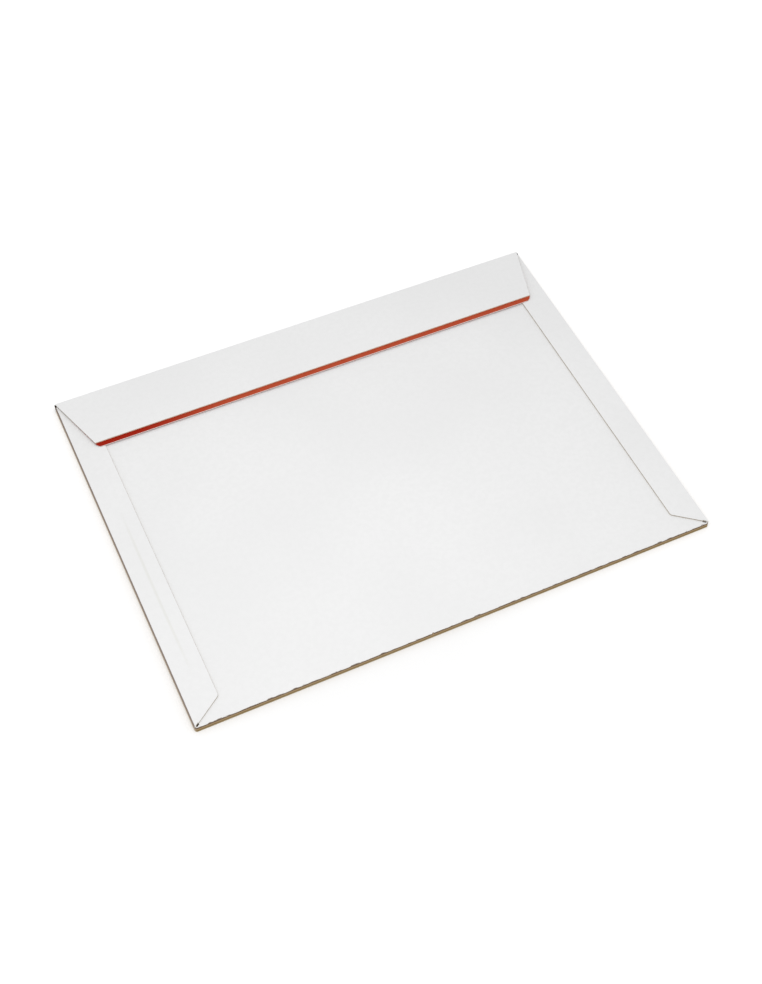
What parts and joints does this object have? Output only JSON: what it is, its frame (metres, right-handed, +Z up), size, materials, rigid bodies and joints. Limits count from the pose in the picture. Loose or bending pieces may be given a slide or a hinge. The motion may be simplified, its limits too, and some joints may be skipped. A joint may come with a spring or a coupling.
{
  "type": "cardboard mailing envelope",
  "caption": "Flat white-lined cardboard envelope with glued side flaps, raw brown folded edges and a hinged closing flap with a red peel-off adhesive liner.",
  "frame": {"origin": "middle of the envelope's box on the surface it lies on, under the front panel", "axes": "+X along the mouth and the bottom fold, +Y from the bottom fold to the mouth fold, +Z up through the thickness"},
  "size_m": [0.335, 0.249, 0.0064],
  "materials": {
    "white_lined_board": "matt white liner, brown fibre at the scored folds",
    "hot_melt_adhesive": "tacky, slightly glossy",
    "red_release_liner": "siliconised, satin"
  },
  "bodies": {
    "pocket": {"pocket": "white_lined_board"},
    "mouth_wall": {"mouth_wall": "white_lined_board"},
    "flap": {"closing_flap": "white_lined_board", "adhesive_strip": "hot_melt_adhesive", "release_liner": "red_release_liner"}
  },
  "joints": [
    {"name": "mouth_fold", "type": "hinge", "parent": "pocket", "child": "mouth_wall", "pos_m": [0, 0.1241, 0.0004], "axis": [-1, 0, 0], "range_deg": [0, 90]},
    {"name": "flap_fold", "type": "hinge", "parent": "mouth_wall", "child": "flap", "pos_m": [0, 0.1241, 0.0054], "axis": [-1, 0, 0], "range_deg": [0, 89.2]}
  ],
  "couplings": [
    {"joint": "flap_fold", "follows": "mouth_fold", "ratio": 0.99111}
  ]
}
